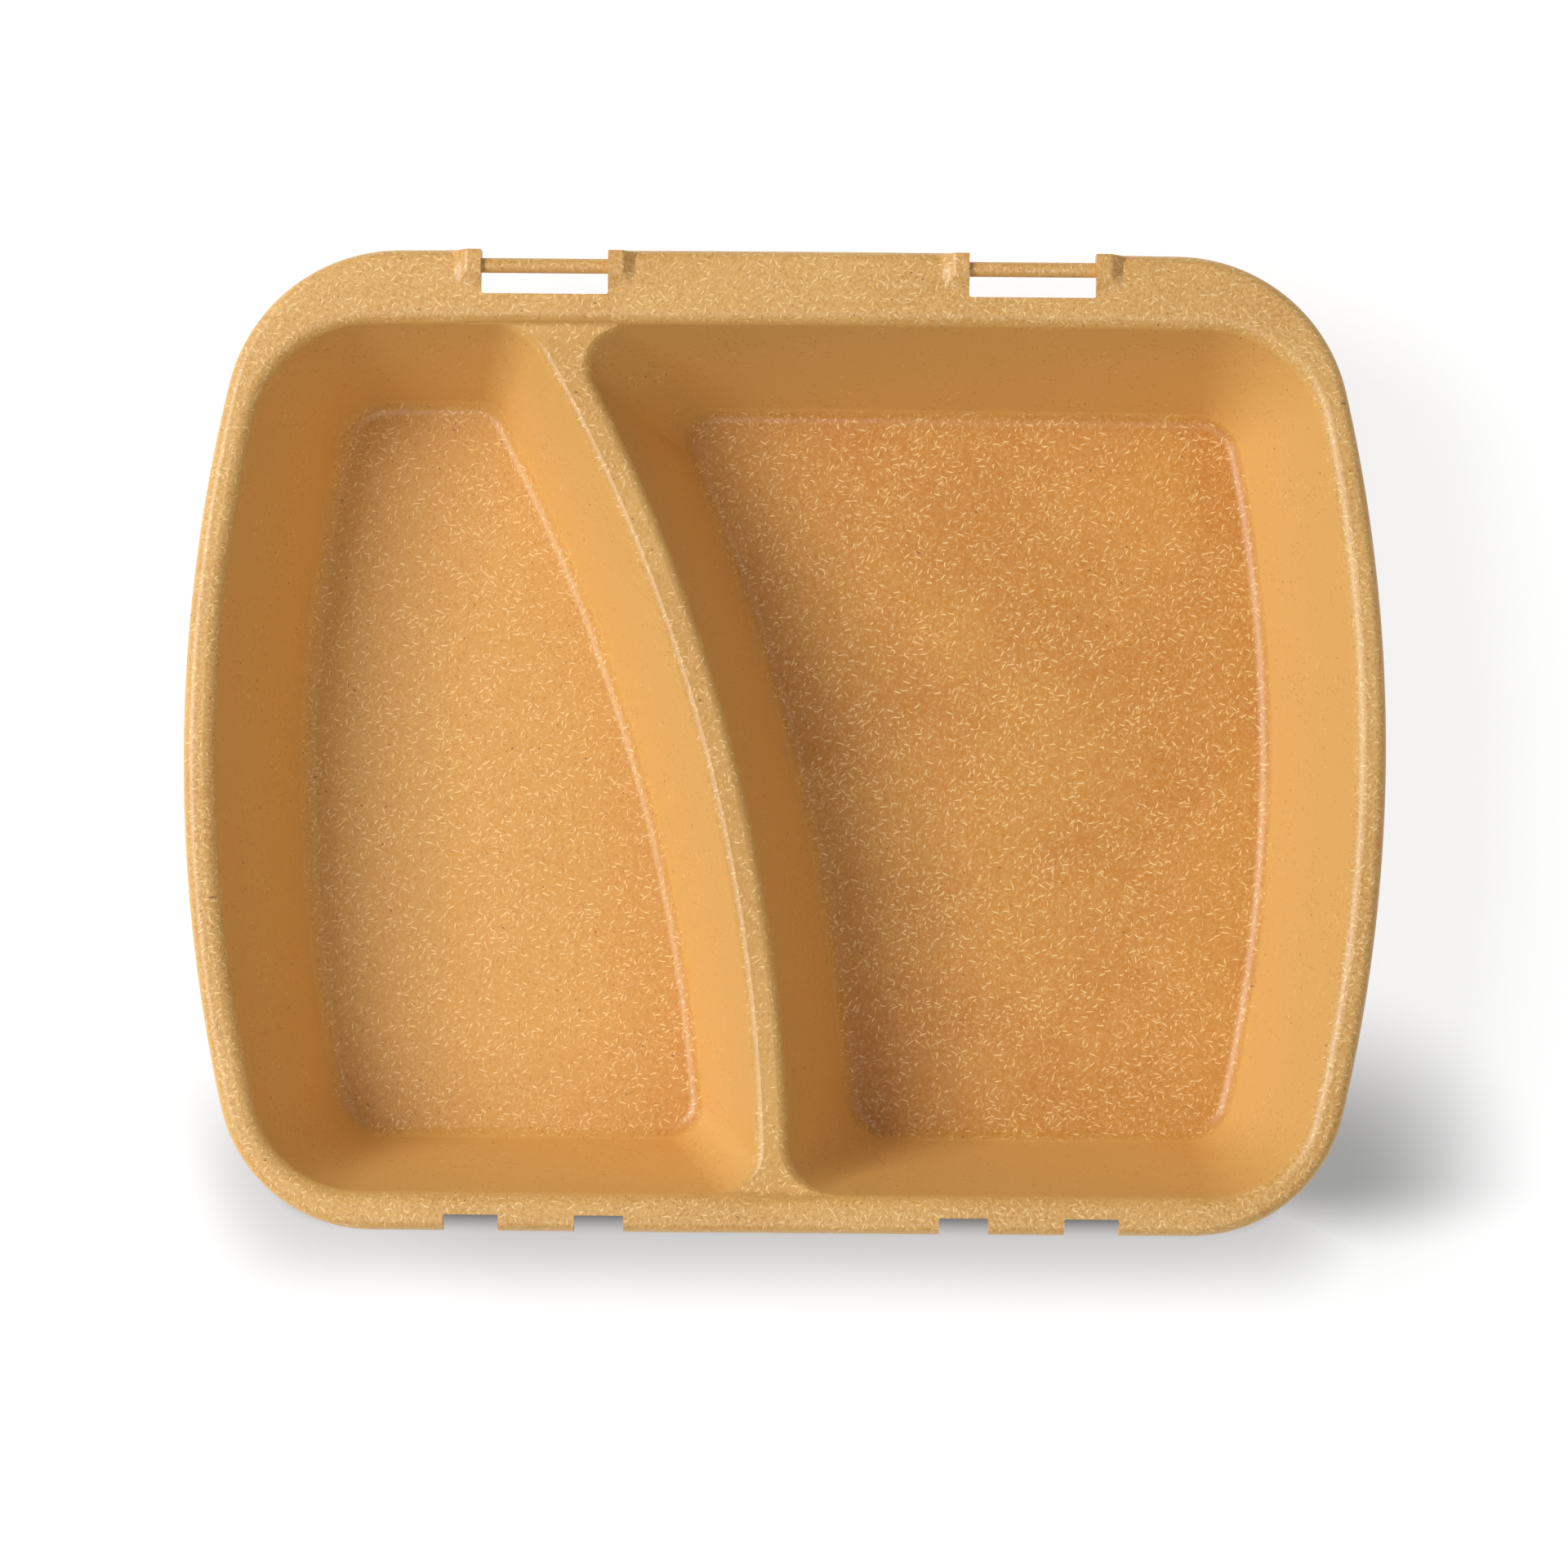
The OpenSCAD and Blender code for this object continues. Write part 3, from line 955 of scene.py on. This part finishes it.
    def material(self) -> bpy.types.Material:
        """Builds the finish and returns its material."""
        material = bpy.data.materials.new("husk_composite")
        material.use_nodes = True
        make = NodeMaker(material)
        shader = material.node_tree.nodes["Principled BSDF"]
        where = make.add("TexCoord")
        place = make.vector("SCALE", where.outputs["Object"], 1 / MM)
        normal = where.outputs["Normal"]
        wander = make.noise(place, self.wander_scale, detail=1.0)
        bend = make.vector("SUBTRACT", wander.outputs["Color"], (0.5, 0.5, 0.5))
        bent = make.vector("ADD", place, make.vector("SCALE", bend, self.wander))

        flat = make.ramp(make.split(normal)[2], *self.level_faces)
        rim = make.ramp(make.split(place)[2], *self.rim_heights)
        fine = make.noise(bent, self.fine_scale, detail=3.0, roughness=self.fine_roughness).outputs[0]
        amount = make.maths("MULTIPLY_ADD", rim, self.rim_veil, self.veil)
        veil = make.maths("MULTIPLY", make.ramp(fine, *self.fine_values), amount)
        colour = self.ground_colour(make, place, flat, veil)

        patches = make.noise(place, self.patch_scale).outputs[0]
        patches = make.ramp(patches, *self.patch_values, -self.patch_change, self.patch_change)
        for kind in self.scatters:
            mask, chance = self.draw(make, bent, normal, kind)
            share = make.maths("MULTIPLY_ADD", flat, kind.share - kind.wall_share, kind.wall_share)
            share = make.maths("MULTIPLY_ADD", rim, kind.rim_share, share)
            spare = make.maths("SUBTRACT", make.maths("ADD", share, patches), chance)
            kept = make.ramp(spare, -self.fade, self.fade)
            shown = make.maths("MULTIPLY", make.maths("MULTIPLY", mask, kept), kind.strength)
            colour = make.blend(shown, colour, linear(*kind.colour))

        spread = self.roughness_spread
        rough = make.maths("MULTIPLY_ADD", fine, spread, self.roughness - spread / 2)
        bump = make.add("Bump")
        make.fill(bump, {"Strength": self.bump_strength, "Distance": self.bump_height, "Height": fine})
        make.fill(shader, {"Base Color": colour, "Roughness": rough, "Specular IOR Level": self.specular,
                           "Normal": bump.outputs[0]})
        return material


@dataclass
class Tray:
    """The whole tray, moulded in one piece. Edges sharper than the sharp angle, in degrees, stay sharp."""

    sizes: TraySizes = field(default_factory=TraySizes)
    divider: Divider = field(default_factory=Divider)
    finish: HuskPlastic = field(default_factory=HuskPlastic)
    sharp_angle: float = 34.0
    normal_weight: int = 60

    def compartments(self) -> list[Compartment]:
        """Returns the two compartments."""
        left = Compartment(
            Hand.LEFT, self.sizes, self.divider, side_run=14.5, rear_run=11.0, front_run=12.0,
            mouth_corners=(11.0, 25.0, 22.0, 8.0), floor_corners=(6.0, 10.0, 9.0, 7.5),
        )
        right = Compartment(
            Hand.RIGHT, self.sizes, self.divider, side_run=13.5, rear_run=12.5, front_run=12.2,
            mouth_corners=(24.0, 8.0, 9.0, 21.0), floor_corners=(8.5, 7.0, 10.0, 9.0),
        )
        return [left, right]

    def build(self) -> Solid:
        """Makes the tray's mesh from its solids and returns the object."""
        rim = Rim(self.sizes)
        ridge = Ridge(self.sizes, self.divider)
        hinge = Hinge(self.sizes)
        tray = rim.plate()
        combine(tray, rim.underside(), Cut.REMOVE)
        rooms = self.compartments()
        for room in rooms:
            combine(tray, room.shell(), Cut.ADD)
        combine(tray, ridge.block(), Cut.ADD)
        for side in (-1, 1):
            for end in (-1, 1):
                combine(tray, hinge.lug(side, end), Cut.ADD)
        for room in rooms:
            combine(tray, room.hollow(), Cut.REMOVE)
        combine(tray, ridge.recess(), Cut.REMOVE)
        for notch in LatchEdge(self.sizes).notches():
            combine(tray, notch, Cut.REMOVE)
        for side in (-1, 1):
            combine(tray, hinge.slot(side), Cut.REMOVE)
            combine(tray, hinge.bar(side), Cut.ADD)
        LOG.info("tray: %d faces before dressing", len(tray.data.polygons))
        return tray

    def dress(self, tray: Solid) -> None:
        """Smooths the tray's shading, gives it its finish and ties it to the frame."""
        mesh = tray.data
        mesh.name = "tray_moulding"
        tray.name = "tray_moulding"
        mesh.shade_smooth()
        mesh.set_sharp_from_angle(angle=math.radians(self.sharp_angle))
        weigh = tray.modifiers.new("weighted_normals", "WEIGHTED_NORMAL")
        weigh.mode = "FACE_AREA"
        weigh.weight = self.normal_weight
        weigh.keep_sharp = True
        mesh.materials.clear()
        mesh.materials.append(self.finish.material())
        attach(tray, "root")
        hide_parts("tray")


@dataclass(frozen=True)
class Lamp:
    """A soft lamp: its direction in degrees, its distance and size in metres, and its power in watts."""

    name: str
    azimuth: float
    height: float
    distance: float
    size: tuple[float, float]
    power: float

    def place(self) -> Vector:
        """Returns where the lamp hangs, in metres."""
        turn, rise = math.radians(self.azimuth), math.radians(self.height)
        flat = self.distance * math.cos(rise)
        return Vector((flat * math.cos(turn), flat * math.sin(turn), self.distance * math.sin(rise)))

    def build(self) -> None:
        """Hangs the lamp, pointed at the tray."""
        light = bpy.data.lights.new(self.name, "AREA")
        light.shape = "RECTANGLE"
        light.size, light.size_y = self.size
        light.energy = self.power
        lamp = bpy.data.objects.new(self.name, light)
        lamp.location = self.place()
        lamp.rotation_euler = self.place().to_track_quat("Z", "Y").to_euler()
        bpy.context.scene.collection.objects.link(lamp)


@dataclass(frozen=True)
class PaintedPaperShade:
    """The soft shade painted on the paper along the tray's front edge and at its front right corner, not cast by
    the lamps.

    Sizes are in millimetres. A pair of numbers is where a smooth change starts and ends: of how far the paper is
    out from the tray's edge, with less than 0 under it, or of y. Each depth is how much light is lost at most.
    The corner's painted shadow spot is an ellipse, measured in shares of its reach: to the sides, to the front
    and to the rear.
    """

    sizes: TraySizes
    edge_rounding: float = 26.0
    beside: Point = (19.0, 0.0)
    beside_rows: Point = (-55.0, -90.0)
    beside_depth: float = 0.34
    under: Point = (1.6, -4.5)
    under_rows: Point = (40.0, -60.0)
    under_depth: float = 0.6
    spot_centre: Point = (112.0, -86.0)
    spot_side_reach: float = 46.0
    spot_front_reach: float = 17.0
    spot_rear_reach: float = 42.0
    spot_middle: float = 2.0
    spot: Point = (1.05, 0.1)
    spot_depth: float = 0.62

    def outwards(self, make: NodeMaker, x: Socket, y: Socket) -> Socket:
        """Returns how far a place lies out from the tray's edge."""
        s = self.sizes
        wide = make.maths("ADD", make.maths("ABSOLUTE", x), s.side_bow - s.width / 2)
        side = make.maths("SQRT", make.maths("MULTIPLY_ADD", wide, wide, make.maths("MULTIPLY", y, y)))
        side = make.maths("SUBTRACT", side, s.side_bow)
        ends = make.maths("SUBTRACT", make.maths("ABSOLUTE", y), s.depth / 2)
        return make.maths("SMOOTH_MAX", side, ends, self.edge_rounding)

    def draw(self, make: NodeMaker) -> Socket:
        """Draws the painted shade.

        Args:
            make: Adds the nodes.

        Returns:
            Output for how light the paper is, 1 away from the tray.
        """
        where = make.add("TexCoord")
        x, y, _ = make.split(make.vector("SCALE", where.outputs["Object"], 1 / MM))
        away = self.outwards(make, x, y)
        beside = make.ramp(away, *self.beside, 0.0, self.beside_depth)
        beside = make.maths("MULTIPLY", beside, make.ramp(y, *self.beside_rows))
        under = make.ramp(away, *self.under, 0.0, self.under_depth)
        under = make.maths("MULTIPLY", under, make.ramp(y, *self.under_rows))
        right = make.maths("SUBTRACT", x, self.spot_centre[0])
        right = make.maths("DIVIDE", right, self.spot_side_reach)
        up = make.maths("SUBTRACT", y, self.spot_centre[1])
        reach = make.ramp(up, -self.spot_middle, self.spot_middle, self.spot_front_reach, self.spot_rear_reach)
        up = make.maths("DIVIDE", up, reach)
        far = make.maths("SQRT", make.maths("MULTIPLY_ADD", right, right, make.maths("MULTIPLY", up, up)))
        spot = make.ramp(far, *self.spot, 0.0, self.spot_depth)
        loss = make.maths("MAXIMUM", make.maths("ADD", beside, under), spot)
        return make.maths("SUBTRACT", 1.0, loss)


@dataclass(frozen=True)
class Studio:
    """Plain white floor with a painted shade near the tray, soft lamps and the camera.

    The floor's size and drop are in millimetres. The frame width is what the picture spans at the rim, the
    distance is the camera's height above the rim and forward how far it stands to the front, in metres. Rise and
    sideways are shares of the picture, the roll is in degrees.
    """

    sizes: TraySizes
    lamps: tuple[Lamp, ...] = (
        Lamp("key", azimuth=168.0, height=50.0, distance=2.0, size=(0.9, 0.9), power=36.0),
        Lamp("front", azimuth=272.0, height=60.0, distance=3.6, size=(1.6, 1.6), power=28.0),
        Lamp("right", azimuth=35.0, height=52.0, distance=3.6, size=(1.6, 1.6), power=12.0),
    )
    ambient: float = 0.175
    floor_size: float = 4000.0
    floor_drop: float = 0.05
    floor_roughness: float = 0.9
    floor_white: float = 0.98
    # The black that the painted shade darkens the paper towards.
    painted_shade_black: float = 0.02
    floor_glow: float = 1.08
    shadow_share: float = 0.24
    frame_width: float = 0.3123
    distance: float = 1.0
    forward: float = 0.084
    roll: float = 0.47
    rise: float = 0.0297
    sideways: float = -0.0006
    sensor: float = 36.0
    far_clip: float = 20.0

    def floor(self) -> None:
        """Lays a pale floor that shows white and keeps part of the tray's cast shadow, with a painted shade in
        its colour.
        """
        build = bmesh.new()
        bmesh.ops.create_grid(build, x_segments=2, y_segments=2, size=self.floor_size)
        for vert in build.verts:
            vert.co.z = -self.floor_drop
        floor = make_object("floor", build)
        material = bpy.data.materials.new("floor_paper")
        material.use_nodes = True
        make = NodeMaker(material)
        shader = material.node_tree.nodes["Principled BSDF"]
        # Painted shade: the paper's colour, which the glow takes too, darkens towards black along the tray's
        # front edge and at its front right corner.
        black, white = (self.painted_shade_black,) * 3 + (1.0,), (self.floor_white,) * 3 + (1.0,)
        paper = make.blend(PaintedPaperShade(self.sizes).draw(make), black, white)
        make.fill(shader, {"Base Color": paper, "Roughness": self.floor_roughness, "Specular IOR Level": 0.0})
        glow = make.add("Emission")
        make.fill(glow, {"Color": paper, "Strength": self.floor_glow})
        path = make.add("LightPath")
        seen = make.maths("MAXIMUM", path.outputs["Is Camera Ray"], path.outputs["Is Glossy Ray"])
        seen = make.maths("MAXIMUM", seen, path.outputs["Is Transmission Ray"])
        share = make.maths("MULTIPLY", seen, 1 - self.shadow_share)
        both = make.add("MixShader")
        for part, socket in zip((share, shader.outputs[0], glow.outputs[0]), both.inputs):
            make.feed(part, socket)
        make.feed(both.outputs[0], material.node_tree.nodes["Material Output"].inputs["Surface"])
        floor.data.materials.append(material)

    def world(self) -> None:
        """Gives the world a plain soft white."""
        world = bpy.data.worlds.new("soft_white")
        world.use_nodes = True
        ground = world.node_tree.nodes["Background"]
        ground.inputs["Color"].default_value = (1.0, 1.0, 1.0, 1.0)
        ground.inputs["Strength"].default_value = self.ambient
        bpy.context.scene.world = world

    def camera(self) -> None:
        """Sets the camera above the tray, a little to the front, as in the photograph."""
        rim_height = self.sizes.height * MM
        target = Vector((0, 0, rim_height))
        place = Vector((0, -self.forward, rim_height + self.distance))
        data = bpy.data.cameras.new("camera")
        data.sensor_width = self.sensor
        data.lens = self.sensor * (place - target).length / self.frame_width
        data.shift_x = self.sideways
        data.shift_y = -self.rise
        data.clip_end = self.far_clip
        camera = bpy.data.objects.new("camera", data)
        camera.rotation_euler = (target - place).to_track_quat("-Z", "Y").to_euler()
        camera.rotation_euler.rotate_axis("Z", math.radians(self.roll))
        camera.location = place
        bpy.context.scene.collection.objects.link(camera)
        bpy.context.scene.camera = camera

    def build(self) -> None:
        """Sets up the whole studio."""
        bpy.context.scene.view_settings.view_transform = "Standard"
        self.floor()
        self.world()
        for lamp in self.lamps:
            lamp.build()
        self.camera()


def main() -> None:
    """Builds the tray and the studio."""
    logging.basicConfig(level=logging.INFO, format="%(name)s: %(message)s")
    tray = Tray()
    piece = tray.build()
    tray.dress(piece)
    LOG.info("%s: %d vertices", piece.name, len(piece.data.vertices))
    Studio(tray.sizes).build()
    LOG.info("studio: floor, lamps and camera")
    bpy.context.view_layer.update()


if __name__ == "__main__":
    main()
